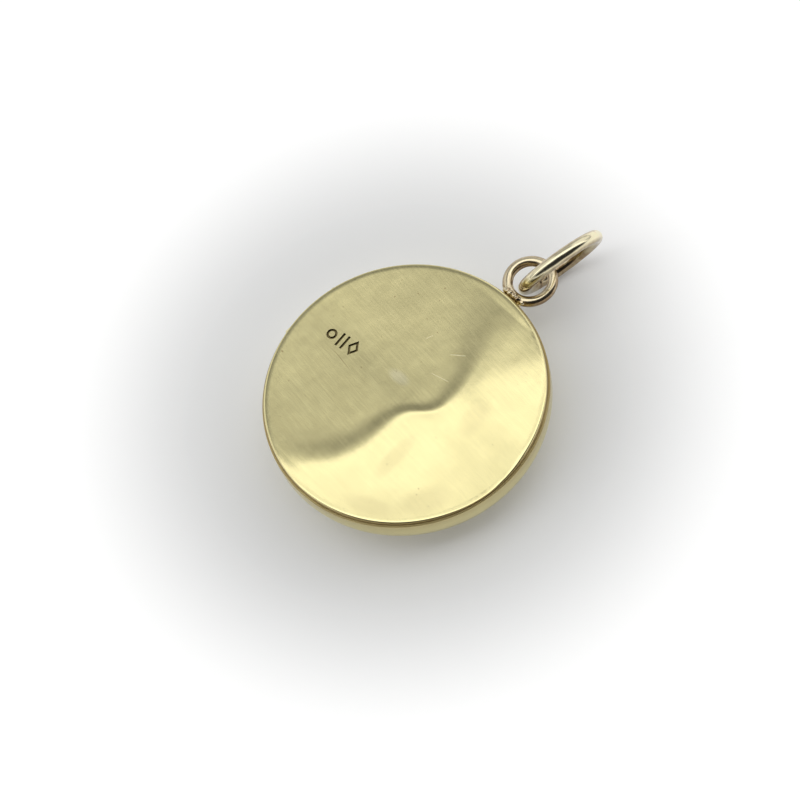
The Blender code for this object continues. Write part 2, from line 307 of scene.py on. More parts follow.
def back_wear_and_shade(shader, colour, rough):
    """The back's own marks, and a brown line round its edge that is a painted dark reflection."""
    colour = shader.stain(colour, shader.oval(*RUBBED_SPOT), 0.55, GOLD_RUBBED)
    for mark in DULL_PATCHES:
        colour = shader.stain(colour, shader.oval(*mark), 0.40, GOLD_DULL)
    for mark in BRIGHT_SCRATCHES:
        scratch = shader.oval(*mark)
        colour = shader.stain(colour, scratch, 0.35, GOLD_SCRATCHED)
        rough = shader.math("MULTIPLY_ADD", scratch, 0.25, rough)
    for mark in DARK_MARKS:
        colour = shader.stain(colour, shader.oval(*mark), 0.6, TARNISH_AND_SHADE)
    specks = shader.span(shader.noise((4200, 4200, 4200), detail=1.0), 0.77, 0.80)
    colour = shader.stain(colour, specks, 0.7, TARNISH_AND_SHADE)
    # Painted dark reflection: a brown line on the back's rounded edge
    edge = shader.span(shader.from_axis(), LID_RADIUS - EDGE_SHADE_INSIDE, LID_RADIUS - EDGE_SHADE_FULL)
    colour = shader.mix(edge, colour, TARNISH_AND_SHADE)
    rough = shader.math("MULTIPLY_ADD", edge, 0.40, rough)
    return colour, rough


def case_painted_shade(shader, colour, rough):
    """Painted shade: brown that is deepest in the seam under the lid and thins out down the wall."""
    height = shader.axis("Z")
    wall = shader.span(height, CASE_TOP - WALL_SHADE_REACH, CASE_TOP, 0.08, 0.50)
    seam = shader.span(height, CASE_TOP - SEAM_SHADE_REACH, CASE_TOP - SEAM_SHADE_FULL, 0.0, 0.40)
    uneven = shader.span(shader.noise((300, 300, 900), detail=3.0), 0.3, 0.7, 0.7, 1.0)
    amount = shader.math("MULTIPLY", shader.math("ADD", wall, seam), uneven)
    rough = shader.math("ADD", rough, seam)
    return shader.mix(amount, colour, TARNISH_AND_SHADE), rough


def polished_gold(name, colour, roughness, staining=0.60, flanks_and_shade=None):
    """Bright wire: soft dents, fine worn places, and a little brown; a function for the sides can add more,
    with painted shade among it. Less staining leaves more brown.
    """
    shader = Shader(name, colour, roughness, 1.0)
    clouds = shader.noise((900, 900, 900), detail=2.0)
    fine = shader.noise((6000, 6000, 6000), detail=3.0, roughness=0.6)
    stains = shader.noise((1500, 1500, 1500), detail=4.0, roughness=0.6, distortion=0.4)
    brown = shader.span(stains, staining, staining + 0.14, 0.0, 0.75)
    if flanks_and_shade:
        uneven = shader.span(stains, 0.30, 0.62, 0.55, 1.0)
        # For the jump ring this brown includes painted shade on its lowest half
        brown = shader.math("MAXIMUM", brown, shader.math("MULTIPLY", flanks_and_shade(shader), uneven))
    shader.colour(shader.mix(brown, colour, WIRE_GRIME_AND_SHADE))
    shader.roughness(shader.math("ADD", shader.span(clouds, 0.3, 0.7, roughness, roughness + 0.07),
                                 shader.span(fine, 0.3, 0.7, -0.015, 0.02)))
    shader.bump((clouds, WIRE_DENT_DEPTH), (fine, WIRE_WEAR_DEPTH))
    return shader.material


def loop_flanks(shader):
    """Browner towards the loop's inner and outer sides."""
    off = shader.math("ABSOLUTE", shader.math("SUBTRACT", shader.from_axis(), LOOP_RADIUS))
    return shader.span(off, 0.20 * LOOP_WIRE, 0.90 * LOOP_WIRE, 0.0, 0.90)


def ring_flanks_and_shade(shader):
    """Browner towards the jump ring's two flat sides, and painted shade on the half of it that hangs
    lowest.
    """
    off = shader.math("ABSOLUTE", shader.axis("Z"))
    sides = shader.span(off, 0.40 * RING_WIRE, 0.95 * RING_WIRE, 0.0, 0.75)
    # Painted shade: the half of the ring that hangs lowest, nearest the floor
    low = shader.span(shader.axis("Y"), -0.7 * RING_RADIUS, 0.1 * RING_RADIUS, 0.90, 0.0)
    return shader.math("MAXIMUM", sides, low)


def paper_card(name):
    shader = Shader(name, CARD_LIGHT, 0.8, 0.0)
    fibres = shader.noise((2500, 9000, 9000), detail=5.0, roughness=0.7, turn=0.5)
    clouds = shader.noise((300, 300, 300), detail=3.0)
    shader.colour(shader.mix(shader.math("MULTIPLY", fibres, clouds), CARD_SHADE, CARD_LIGHT))
    shader.roughness(shader.span(fibres, 0.3, 0.7, 0.70, 0.88))
    shader.bump((fibres, CARD_FIBRE_DEPTH))
    return shader.material


def clear_glazing(name):
    shader = Shader(name, ACRYLIC, 0.04, 0.0)
    shader.principled.inputs["Transmission Weight"].default_value = 1.0
    shader.principled.inputs["IOR"].default_value = ACRYLIC_IOR
    smears = shader.noise((260, 700, 260), detail=4.0, roughness=0.6, turn=0.7, distortion=0.6)
    scuffs = shader.noise((500, 14000, 500), detail=2.0, turn=0.3)
    shader.roughness(shader.math("ADD", shader.span(smears, 0.45, 0.75, 0.02, 0.09),
                                 shader.span(scuffs, 0.60, 0.75, 0.0, 0.08)))
    shader.bump((scuffs, SCUFF_DEPTH))
    return shader.material


# The floor has painted shade round the object, and a painted glow that grows farther out
FLOOR_SHADE_CENTRE = (-1.4 * MM, 0.4 * MM, 0.0)
FLOOR_SHADE_REACH = 12.0 * MM
FLOOR_FULL_REACH = 27.0 * MM
FLOOR_SHADED = (0.74, 0.745, 0.75)
FLOOR_FAR = (0.93, 0.93, 0.93)
FLOOR_PAINTED_GLOW_NEAR = 0.165
FLOOR_PAINTED_GLOW_MORE = 0.27
FLOOR_RADIUS = 600.0 * MM
FLOOR_DROP = 0.002 * MM             # under the object, so that the two don't share a plane


def pale_floor(name):
    """A pale sweep with painted shade round the middle and a painted glow that grows farther out."""
    shader = Shader(name, FLOOR_SHADED, 0.6, 0.0)
    centre = shader.node("ShaderNodeVectorMath", operation="SUBTRACT")
    centre.inputs[1].default_value = FLOOR_SHADE_CENTRE
    shader.link(shader.place, centre.inputs[0])
    distance = shader.node("ShaderNodeVectorMath", operation="LENGTH")
    shader.link(centre.outputs["Vector"], distance.inputs[0])
    unshaded_share = shader.span(distance.outputs["Value"], FLOOR_SHADE_REACH, FLOOR_FULL_REACH)
    grain = shader.noise((900, 900, 900), detail=3.0)
    # Painted shade: the floor's colour is darker near the object
    shader.colour(shader.mix(unshaded_share, FLOOR_SHADED, FLOOR_FAR))
    shader.roughness(shader.span(grain, 0.3, 0.7, 0.55, 0.65))
    shader.bump((grain, FLOOR_GRAIN_DEPTH))
    # Painted light: the floor glows, more so farther out
    shader.principled.inputs["Emission Color"].default_value = (1.0, 1.0, 1.0, 1.0)
    painted_glow = shader.math("MULTIPLY_ADD", unshaded_share, FLOOR_PAINTED_GLOW_MORE, FLOOR_PAINTED_GLOW_NEAR)
    shader.link(painted_glow, shader.principled.inputs["Emission Strength"])
    return shader.material


# ---------------------------------------------------------------- mesh helpers

SHARP_ANGLE = math.radians(40.0)
WELD = 1e-8                         # vertices closer than this become one


def in_scene(name, mesh):
    piece = bpy.data.objects.new(name, mesh)
    bpy.context.scene.collection.objects.link(piece)
    return piece


def finish_mesh(name, mesh, material):
    mesh.materials.append(material)
    mesh.shade_smooth()
    mesh.set_sharp_from_angle(angle=SHARP_ANGLE)
    return in_scene(name, mesh)


def mesh_from(bm, name):
    bmesh.ops.recalc_face_normals(bm, faces=bm.faces)
    mesh = bpy.data.meshes.new(name)
    bm.to_mesh(mesh)
    bm.free()
    return mesh


def arc(centre_x, centre_z, radius, start, end, steps):
    """Points along an arc in a turning profile, both ends included, angles in degrees from +X to +Z."""
    turns = [math.radians(start + (end - start) * i / steps) for i in range(steps + 1)]
    return [(centre_x + radius * math.cos(a), centre_z + radius * math.sin(a)) for a in turns]


def lathe(profile, segments, closed=False):
    """Turn (x, z) points about Z. An open profile starts and ends on the axis."""
    bm = bmesh.new()
    columns = []
    for i in range(segments):
        a = 2 * math.pi * i / segments
        columns.append([bm.verts.new((x * math.cos(a), x * math.sin(a), z)) for x, z in profile])
    count = len(profile)
    spans = [(k, (k + 1) % count) for k in range(count if closed else count - 1)]
    for i in range(segments):
        left, right = columns[i], columns[(i + 1) % segments]
        for k, m in spans:
            bm.faces.new((left[k], right[k], right[m], left[m]))
    bmesh.ops.remove_doubles(bm, verts=bm.verts, dist=WELD)
    bmesh.ops.dissolve_degenerate(bm, edges=bm.edges, dist=WELD / 10)
    return bm


def cut_away(piece, cutters):
    """Subtract solids from a piece, and remove them."""
    for cutter in cutters:
        boolean = piece.modifiers.new("cut", "BOOLEAN")
        boolean.operation = "DIFFERENCE"
        boolean.solver = "EXACT"
        boolean.material_mode = "TRANSFER"
        boolean.object = cutter
    bpy.context.view_layer.update()
    evaluated = piece.evaluated_get(bpy.context.evaluated_depsgraph_get())
    mesh = bpy.data.meshes.new_from_object(evaluated)
    piece.modifiers.clear()
    piece.data = mesh
    for cutter in cutters:
        bpy.data.objects.remove(cutter)


def box_solid(low, high):
    bm = bmesh.new()
    bmesh.ops.create_cube(bm, size=1.0)
    size = Vector(high) - Vector(low)
    centre = (Vector(low) + Vector(high)) / 2
    stretched = Matrix.Translation(centre) @ Matrix.Diagonal(size.to_4d())
    bmesh.ops.transform(bm, matrix=stretched, verts=bm.verts)
    return in_scene("cutter", mesh_from(bm, "cutter"))


# ---------------------------------------------------------------- lid

# The back is very slightly roofed: it rises to a crooked fold and falls away beyond it
CREST = 0.20 * MM
RISE = math.tan(math.radians(1.2))
FALL_LOW = math.tan(math.radians(1.15))     # where Y is below nought
FALL_HIGH = 0.0                             # and where Y is above
FALL_BEND_LOW = 0.0050 / MM
FALL_BEND_HIGH = 0.0066 / MM
RISE_BEND = 0.0026 / MM                     # where Y is above, growing towards the fold
FALL_REACH = 20.0 * MM
RISE_LEVEL = 3.0 * MM                       # this far before the fold the rise is as named
RIDGE_SLOPE = math.tan(math.radians(2.8))   # of the sharper lip just before the fold
RIDGE_WIDTH = 0.58 * MM
RIDGE_FADE = 9.0                            # it flattens out this far along Y, in millimetres
BELL_STEEPEST = 0.858                       # the steepest slope of a unit bell curve
WAVE_LENGTH = 2.4 * MM
WAVE_BEFORE = 0.0036 * MM                   # height of the low waves before the fold
WAVE_MORE = 0.0085 * MM                     # and what is added beyond it
RIPPLE_LENGTH = 0.8 * MM
RIPPLE = 0.0016 * MM

# The fold's course, in millimetres: its middle in X, and the bend that shifts it by one to either side
FOLD_MIDDLE = 2.06
FOLD_BEND_PLACE = -0.4
FOLD_BEND_LENGTH = 0.9


def smooth(value, low, high):
    share = min(1.0, max(0.0, (value - low) / (high - low)))
    return share * share * (3.0 - 2.0 * share)


def fold_line(y):
    """Where the fold lies, in X, for a place along Y, both in millimetres."""
    bend = FOLD_MIDDLE + math.tanh((y - FOLD_BEND_PLACE) / FOLD_BEND_LENGTH)
    return bend - 0.094 * min(0.0, y + 4.0) ** 2 - 0.12 * max(0.0, y - 2.5) ** 1.5


def roof_height(row, past, upper):
    """The two broad slopes, rounded where they meet, at a distance past the fold."""
    soft = (0.12 + 0.06 * max(0.0, -row) + 0.16 * max(0.0, row - 1.0)) * MM
    beyond = soft * math.log1p(math.exp(min(60.0, past / soft)))
    before = past - beyond
    far = min(0.0, before + RISE_LEVEL * (1.5 - 0.5 * upper))
    near = max(0.0, before + RISE_LEVEL)
    fall = FALL_LOW + (FALL_HIGH - FALL_LOW) * upper
    fall_bend = FALL_BEND_LOW + (FALL_BEND_HIGH - FALL_BEND_LOW) * upper
    height = CREST + RISE * before
    height += 0.5 * RISE_BEND * (far ** 2 + upper * (near ** 2 - RISE_LEVEL ** 2))
    height -= fall * beyond
    height -= 0.5 * fall_bend * min(beyond, FALL_REACH) ** 2
    return height


def lip_height(row, past, upper):
    """The sharper step up to the fold, which stays up beyond it for the most part."""
    spread = 0.17 if row < 0.0 else 0.30
    wide = RIDGE_WIDTH * (1.0 + spread * max(0.0, abs(row) - 1.0) ** 1.25)
    steep = RIDGE_SLOPE * max(0.0, 1.0 - (abs(row) / RIDGE_FADE) ** 3)
    lip = math.exp(-(past / wide) ** 2)
    if past > 0.0:
        lip += (1.0 - lip) * (0.55 + 0.45 * upper)
    return steep * wide / BELL_STEEPEST * lip


def back_height(x, y):
    """Height of the back over the lid's nominal top: roof, lip and low waves. Two shapes are mixed, one
    for each half: upper is nought where Y is low and one where it is high."""
    row = y / MM
    past = x - fold_line(row) * MM
    upper = smooth(row, 0.2, 2.8)
    wave = WAVE_BEFORE + WAVE_MORE * smooth(past / MM, -1.0, 1.5)
    height = roof_height(row, past, upper) + lip_height(row, past, upper)
    height += wave * noise.noise(Vector((x, y, 0.0)) / WAVE_LENGTH)
    height += RIPPLE * noise.noise(Vector((x, y, MM)) / RIPPLE_LENGTH)
    return height


EDGE_EASE = 0.28 * MM
EDGE_DROP = 0.011 * MM
EDGE_STEPS = 6
ROUND_TOP = 0.13 * MM
ROUND_FOOT = 0.06 * MM
PLATE_RINGS = 110
PLATE_SEGMENTS = 360


def eased_edge(radius):
    """How far the back has worn down near its edge."""
    inside = LID_RADIUS - ROUND_TOP - EDGE_EASE
    return EDGE_DROP * max(0.0, (radius - inside) / EDGE_EASE) ** 2


def make_back_plate():
    flat = LID_RADIUS - ROUND_TOP
    radii = [flat * i / PLATE_RINGS for i in range(PLATE_RINGS)]
    radii += [flat - EDGE_EASE * (EDGE_STEPS - k) / EDGE_STEPS for k in range(1, EDGE_STEPS)]
    top = [(radius, LID_TOP - eased_edge(radius)) for radius in radii]
    edge = arc(flat, LID_TOP - EDGE_DROP - ROUND_TOP, ROUND_TOP, 76, 0, 7)
    foot = arc(LID_RADIUS - ROUND_FOOT, LID_FOOT + ROUND_FOOT, ROUND_FOOT, 0, -90, 6)
    inner = [(LID_RADIUS * share, LID_FOOT) for share in (0.9, 0.6, 0.3, 0.0)]
    bm = lathe(top + edge + foot + inner, PLATE_SEGMENTS)
    middle = (LID_TOP + LID_FOOT) / 2
    for vert in bm.verts:
        if vert.co.z > middle:
            share = (vert.co.z - middle) / (LID_TOP - middle)
            vert.co.z += back_height(vert.co.x, vert.co.y) * share
    material = brushed_gold("satin_back", GOLD_LIGHT, GOLD_OLIVE, 0.15, wear_and_shade=back_wear_and_shade)
    plate = finish_mesh("back_plate", mesh_from(bm, "back_plate"), material)
    cut_away(plate, punch_marks())
    plate.data.set_sharp_from_angle(angle=SHARP_ANGLE)
    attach(plate, "lid")
    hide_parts("back_cover")


PUNCH_CENTRE = Vector((-6.06, -0.26, 0.0)) * MM
PUNCH_TURN = math.radians(187.0)
PUNCH_DEPTH = 0.16 * MM
PUNCH_PITCH = 0.98 * MM
PUNCH_HALF = 0.66 * MM
PUNCH_SLOPE = 0.03 * MM
PUNCH_ABOVE = 0.3 * MM              # how far the cutting solids stand out of the back
BAR_HALF_WIDTH = 0.09 * MM
BAR_OFFSET = 0.22 * MM              # of each bar from the middle of the row
ROUND_POINTS = 24


def punch_solid(outline, centre, grime, hollow=0.0):
    """A punch with sloping sides, its face PUNCH_DEPTH under the back, from an outline in its own plane.
    A hollow one is a band, its inside edge the outline shrunk by that share."""
    bm = bmesh.new()
    turn = Matrix.Rotation(PUNCH_TURN, 4, "Z")
    middle = sum((Vector(p) for p in outline), Vector((0.0, 0.0))) / len(outline)

    def row(z, share, spread):
        verts = []
        for point in outline:
            arm = (Vector(point) - middle) * share
            offset = middle + arm + arm.normalized() * spread
            place = centre + (turn @ Vector((offset.x, offset.y, 0.0)))
            surface = LID_TOP + back_height(place.x, place.y)
            verts.append(bm.verts.new((place.x, place.y, surface + z)))
        return verts

    low = row(-PUNCH_DEPTH, 1.0, -PUNCH_SLOPE)
    high = row(PUNCH_ABOVE, 1.0, PUNCH_SLOPE)
    rows = [low, high]
    if hollow:
        rows += [row(PUNCH_ABOVE, hollow, -PUNCH_SLOPE), row(-PUNCH_DEPTH, hollow, PUNCH_SLOPE)]
    count = len(outline)
    pairs = list(zip(rows, rows[1:])) + ([(rows[-1], rows[0])] if hollow else [])
    for first, second in pairs:
        for i in range(count):
            k = (i + 1) % count
            bm.faces.new((first[i], first[k], second[k], second[i]))
    if not hollow:
        bm.faces.new(low[::-1])
        bm.faces.new(high)
    mesh = mesh_from(bm, "punch")
    mesh.materials.append(grime)
    return in_scene("punch", mesh)


def punch_marks():
    """Three plain maker's shapes in a row: a lozenge, a pair of bars and a round."""
    half = PUNCH_HALF
    lozenge = [(half * 0.66, 0.0), (0.0, half), (-half * 0.66, 0.0), (0.0, -half)]
    bar_half = half * 0.85
    bar = [(BAR_HALF_WIDTH, -bar_half), (BAR_HALF_WIDTH, bar_half), (-BAR_HALF_WIDTH, bar_half),
           (-BAR_HALF_WIDTH, -bar_half)]
    radius = half * 0.62
    turns = [2 * math.pi * i / ROUND_POINTS for i in range(ROUND_POINTS)]
    dot = [(radius * math.cos(a), radius * math.sin(a)) for a in turns]
    step = Matrix.Rotation(PUNCH_TURN, 3, "Z") @ Vector((PUNCH_PITCH, 0.0, 0.0))
    shift = step * (BAR_OFFSET / PUNCH_PITCH)
    grime = brushed_gold("punch_grime", PUNCH_GRIME, PUNCH_GRIME_DARK, 0.40)
    return [punch_solid(lozenge, PUNCH_CENTRE - step, grime, hollow=0.50),
            punch_solid(bar, PUNCH_CENTRE - shift, grime), punch_solid(bar, PUNCH_CENTRE + shift, grime),
            punch_solid(dot, PUNCH_CENTRE + step, grime, hollow=0.52)]


def make_snap_rim():
    depth = SNAP_HIGH[2] - SNAP_LOW[2]
    outer = (SNAP_HIGH[1] - SNAP_LOW[1]) / 2
    inner = outer - SNAP_THICKNESS
    side = outer - SNAP_BEAD
    top = LID_FOOT
    foot = SNAP_LOW[2]
    lip = 0.06 * MM
    steps = 11
    bead = [(side + SNAP_BEAD * math.exp(-((k - 5) / 2.0) ** 2), top - depth * k / steps)
            for k in range(steps)]
    profile = bead + arc(side - lip, foot + lip, lip, 0, -90, 4)
    profile += arc(inner + lip, foot + lip, lip, -90, -180, 4) + [(inner, top)]
    rim = finish_mesh("snap_rim_turned", mesh_from(lathe(profile, 240, closed=True), "snap_rim_turned"),
                      brushed_gold("satin_rim", GOLD_LIGHT, GOLD_OLIVE, 0.22))
    gap = box_solid((-LID_RADIUS - MM, -SNAP_GAP_HALF, SNAP_LOW[2] - MM),
                    (-LID_RADIUS + SNAP_GAP_DEPTH, SNAP_GAP_HALF, LID_TOP))
    cut_away(rim, [gap])
    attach(rim, "lid")
    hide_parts("snap_rim")


# ---------------------------------------------------------------- case

def make_case_shell():
    turn_radius = CASE_RADIUS - SHOULDER_RADIUS
    dome_radius = (turn_radius + SHOULDER_RADIUS * math.cos(SHOULDER_TURN)) / math.cos(SHOULDER_TURN)
    shoulder_z = CASE_TOP - SIDE_HEIGHT
    flat_turn = math.acos(FLAT_RADIUS / dome_radius)
    dome_z = CASE_LOW[2] + dome_radius * math.sin(flat_turn)
    steep = math.degrees(SHOULDER_TURN)
    shallow = math.degrees(flat_turn)
    lip = 0.10 * MM
    inner = CASE_RADIUS - CASE_WALL
    profile = [(0.0, CASE_LOW[2] + CASE_WALL)]
    profile += arc(0.0, dome_z, dome_radius - CASE_WALL, -shallow, -steep, 10)
    profile += arc(turn_radius, shoulder_z, SHOULDER_RADIUS - CASE_WALL, -steep, 0, 16)[1:]
    profile += arc(inner + lip / 2, CASE_TOP - lip / 2, lip / 2, 180, 90, 3)
    profile += arc(CASE_RADIUS - lip, CASE_TOP - lip, lip, 90, 0, 8)
    profile += arc(turn_radius, shoulder_z, SHOULDER_RADIUS, 0, -steep, 28)
    profile += arc(0.0, dome_z, dome_radius, -steep, -shallow, 24)[1:]
    profile += [(FLAT_RADIUS * 0.5, CASE_LOW[2]), (0.0, CASE_LOW[2])]
    bm = lathe(profile, 288)
    material = brushed_gold("satin_case", GOLD_LIGHT, GOLD_OLIVE, 0.20, brush=0.3, wear_and_shade=case_painted_shade)
    shell = finish_mesh("case_shell", mesh_from(bm, "case_shell"), material)
    notch = box_solid((-CASE_RADIUS - MM, -NOTCH_HALF, BED_LOW[2] - NOTCH_PLAY),
                      (-CASE_RADIUS + MM, NOTCH_HALF, LID_TOP + MM))
    cut_away(shell, [notch])
    shell.data.set_sharp_from_angle(angle=SHARP_ANGLE)
    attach(shell, "case")
    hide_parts("front_cover")


# ---------------------------------------------------------------- loop, solder and jump ring

DENT_LENGTH = 0.55 * MM
END_BEVEL = 0.03 * MM
RING_GAP = 0.035 * MM
RING_GAP_PLACE = math.radians(232.0)


def tube_ring(name, radius, wire, around, along, material, dent=0.0, seed=0.0, gap=0.0, start=0.0):
    """A wire ring in its own XY plane; with a gap it has two butted, slightly bevelled ends."""
    bm = bmesh.new()
    loops = []
    steps = along if gap == 0.0 else along + 1
    for i in range(steps):
        share = i / along
        a = start + gap / radius / 2 + (2 * math.pi - gap / radius) * share
        spine = Vector((radius * math.cos(a), radius * math.sin(a), 0.0))
        outward = spine.normalized()
        row = []
        for k in range(around):
            b = 2 * math.pi * k / around
            normal = outward * math.cos(b) + Vector((0.0, 0.0, 1.0)) * math.sin(b)
            uneven = noise.noise((spine + normal * wire) / DENT_LENGTH + Vector((seed, 0.0, 0.0)))
            thin = wire + dent * uneven
            if gap and (i == 0 or i == steps - 1):
                thin -= END_BEVEL
            row.append(bm.verts.new(spine + normal * thin))
        loops.append(row)
    for i in range(steps if gap == 0.0 else steps - 1):
        left, right = loops[i], loops[(i + 1) % steps]
        for k in range(around):
            m = (k + 1) % around
            bm.faces.new((left[k], left[m], right[m], right[k]))
    if gap:
        bm.faces.new(loops[0])
        bm.faces.new(loops[-1][::-1])
    return finish_mesh(name, mesh_from(bm, name), material)


def make_bail_loop():
    material = polished_gold("polished_loop", GOLD_WORN, 0.15, flanks_and_shade=loop_flanks)
    loop = tube_ring("bail_loop_wire", LOOP_RADIUS, LOOP_WIRE, 28, 160, material, dent=0.012 * MM, seed=3.0)
    loop.location = LOOP_CENTRE
    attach(loop, "case")
    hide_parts("bail_loop")


# Runs of solder, in millimetres: place along the wall, out from its foot and up from the loop's middle,
# and radius. The foot lies this far outside the wall.
SOLDER_FOOT = 0.10
SOLDER_RUNS = ((-0.88, 0.36, 0.04, 0.22), (-0.60, 0.27, 0.27, 0.25), (-0.24, 0.21, 0.36, 0.24),
               (0.12, 0.23, 0.30, 0.27), (0.46, 0.24, 0.33, 0.22), (0.80, 0.34, 0.14, 0.24),
               (-0.55, 0.16, -0.02, 0.28), (-0.18, 0.12, 0.02, 0.30), (0.22, 0.12, 0.0, 0.30),
               (0.56, 0.17, -0.02, 0.28), (0.0, 0.10, -0.24, 0.32), (-0.40, 0.16, -0.22, 0.26),
               (0.40, 0.16, -0.22, 0.26))
SOLDER_VOXEL = 0.035 * MM
SOLDER_DENT = 0.075 * MM
SOLDER_DENT_LENGTH = 0.22 * MM


def make_solder():
    """Uneven solder built up from small runs, fused into one lump at the loop's foot."""
    bm = bmesh.new()
    for along, out, up, size in SOLDER_RUNS:
        made = bmesh.ops.create_icosphere(bm, subdivisions=3, radius=size * MM)
        x = along * MM
        y = CASE_RADIUS + (SOLDER_FOOT + out) * MM - x ** 2 / CASE_RADIUS / 2
        bmesh.ops.translate(bm, verts=made["verts"], vec=Vector((x, y, LOOP_CENTRE.z + up * MM)))
    material = polished_gold("solder", GOLD_WORN, 0.17, staining=0.46)
    solder = finish_mesh("bail_solder_lump", mesh_from(bm, "bail_solder_lump"), material)
    remesh = solder.modifiers.new("fuse", "REMESH")
    remesh.mode = "VOXEL"
    remesh.voxel_size = SOLDER_VOXEL
    remesh.use_smooth_shade = True
    settle = solder.modifiers.new("settle", "SMOOTH")
    settle.factor = 0.5
    settle.iterations = 6
    evaluated = solder.evaluated_get(bpy.context.evaluated_depsgraph_get())
    fused = bpy.data.meshes.new_from_object(evaluated)
    solder.modifiers.clear()
    solder.data = fused
    for vert in fused.vertices:
        vert.co += vert.normal * noise.noise(vert.co / SOLDER_DENT_LENGTH) * SOLDER_DENT
    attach(solder, "case")
    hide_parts("bail_solder")


def make_jump_ring():
    inward = Vector((0.0, LOOP_CENTRE.y, RING_CENTRE.z)) - RING_CENTRE
    outward = -(inward - inward.project(RING_NORMAL)).normalized()
    across = RING_NORMAL.cross(outward)
    material = polished_gold("polished_ring", GOLD_ROSY, 0.12, flanks_and_shade=ring_flanks_and_shade)
    ring = tube_ring("jump_ring_wire", RING_RADIUS, RING_WIRE, 32, 256, material,
                     dent=0.010 * MM, seed=9.0, gap=RING_GAP, start=RING_GAP_PLACE)
    turn = Matrix((outward, across, RING_NORMAL)).transposed().to_4x4()
    ring.matrix_world = Matrix.Translation(RING_CENTRE) @ turn
    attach(ring, "jump_ring")
    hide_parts("jump_ring")


# ---------------------------------------------------------------- hinge

def make_knuckle(node, body):
    low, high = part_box(node)
    radius = (high[2] - low[2]) / 2
    half = (high[1] - low[1]) / 2
    lip = 0.05 * MM
    outer = radius - lip
    inner = PIN_BORE + lip
    end = half - lip
    profile = arc(outer, end, lip, 90, 0, 4) + arc(outer, -end, lip, 0, -90, 4)
    profile += arc(inner, -end, lip, -90, -180, 3) + arc(inner, end, lip, 180, 90, 3)
    knuckle = finish_mesh(node + "_tube", mesh_from(lathe(profile, 64, closed=True), node + "_tube"),
                          polished_gold(node + "_gold", GOLD_LIGHT, 0.18))
    knuckle.rotation_euler = (math.pi / 2, 0.0, 0.0)
    knuckle.location = (Vector(low) + Vector(high)) / 2
    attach(knuckle, body)
    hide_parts(node)


def make_pin():
    radius = (PIN_HIGH[2] - PIN_LOW[2]) / 2
    half = (PIN_HIGH[1] - PIN_LOW[1]) / 2
    crown = 0.06 * MM
    profile = [(0.0, half)] + arc(radius - crown, half - crown, crown, 90, 0, 5)
    profile += arc(radius - crown, -half + crown, crown, 0, -90, 5) + [(0.0, -half)]
    pin = finish_mesh("hinge_pin_wire", mesh_from(lathe(profile, 40), "hinge_pin_wire"),
                      polished_gold("pin_gold", GOLD_ROSY, 0.15))
    pin.rotation_euler = (math.pi / 2, 0.0, 0.0)
    pin.location = HINGE
    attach(pin, "case")
    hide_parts("hinge_pin")


def make_hinge():
    for node in sorted(frame["nodes"]):
        if node.startswith("hinge_knuckle"):
            make_knuckle(node, "lid" if "_lid_" in node else "case")
    make_pin()


# ---------------------------------------------------------------- pictures

SIGHT_RADIUS = 7.95 * MM            # of the opening that shows the picture
GLAZING_PLAY = 0.03 * MM
GLAZING_LIFT = 0.02 * MM
STEP_WIDTH = 0.10 * MM
STEP_DEPTH = 0.08 * MM
CROWN_HEIGHT = 0.16 * MM
CROWN_INSET = 0.22 * MM             # from the opening's edge to the crown's


def make_picture_frame(side, body):
    """A half-round moulding with a fine step at its inner edge."""
    low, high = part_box("picture_frame_" + side)
    glazing_low, glazing_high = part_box("picture_glazing_" + side)
    outer = (high[1] - low[1]) / 2
    rebate = (glazing_high[1] - glazing_low[1]) / 2 + GLAZING_PLAY
    up = side == "front"
    sign = 1.0 if up else -1.0
    back = low[2] if up else high[2]
    face = high[2] if up else low[2]
    lip = (glazing_high[2] if up else glazing_low[2]) + sign * GLAZING_LIFT
    crown = (outer - SIGHT_RADIUS - CROWN_INSET) / 2
    middle = outer - crown
    spring = face - sign * CROWN_HEIGHT
    turns = [math.pi * k / 12 for k in range(13)]
    top = [(middle + crown * math.cos(a), spring + sign * CROWN_HEIGHT * math.sin(a)) for a in turns]
    step = [(SIGHT_RADIUS + STEP_WIDTH, spring), (SIGHT_RADIUS, spring - sign * STEP_DEPTH),
            (SIGHT_RADIUS, lip)]
    profile = [(outer, back)] + top + step + [(rebate, lip), (rebate, back)]
    moulding = finish_mesh("picture_moulding_" + side,
                           mesh_from(lathe(profile, 240, closed=True), "picture_moulding_" + side),
                           polished_gold("moulding_" + side, GOLD_FRAME, 0.13))
    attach(moulding, body)
    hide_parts("picture_frame_" + side)


def dress_cad_nodes():
    """Nodes whose CAD shape already shows: plain discs and the folded hinge bed."""
    looks = {"picture_card_front": paper_card("card_front"), "picture_card_back": paper_card("card_back"),
             "picture_glazing_front": clear_glazing("glazing_front"),
             "picture_glazing_back": clear_glazing("glazing_back"),
             "picture_seat_front": brushed_gold("seat_gold", GOLD_LIGHT, GOLD_OLIVE, 0.28),
             "hinge_bed": brushed_gold("bed_gold", GOLD_LIGHT, GOLD_OLIVE, 0.24)}
    for node, material in looks.items():
        mesh_object = frame["nodes"][node]
        for slot in mesh_object.material_slots:
            slot.material = material


# ---------------------------------------------------------------- stage, light and camera

def make_floor():
    bm = bmesh.new()
    bmesh.ops.create_circle(bm, cap_ends=True, radius=FLOOR_RADIUS, segments=96)
    floor = finish_mesh("floor", mesh_from(bm, "floor"), pale_floor("floor"))
    floor.location.z = -FLOOR_DROP


def world_direction(azimuth, elevation):
    """Unit vector with azimuth measured like the view's, elevation above the horizon, both in degrees."""
    a = math.radians(azimuth)
    e = math.radians(elevation)
    return (math.sin(a) * math.cos(e), -math.cos(a) * math.cos(e), math.sin(e))


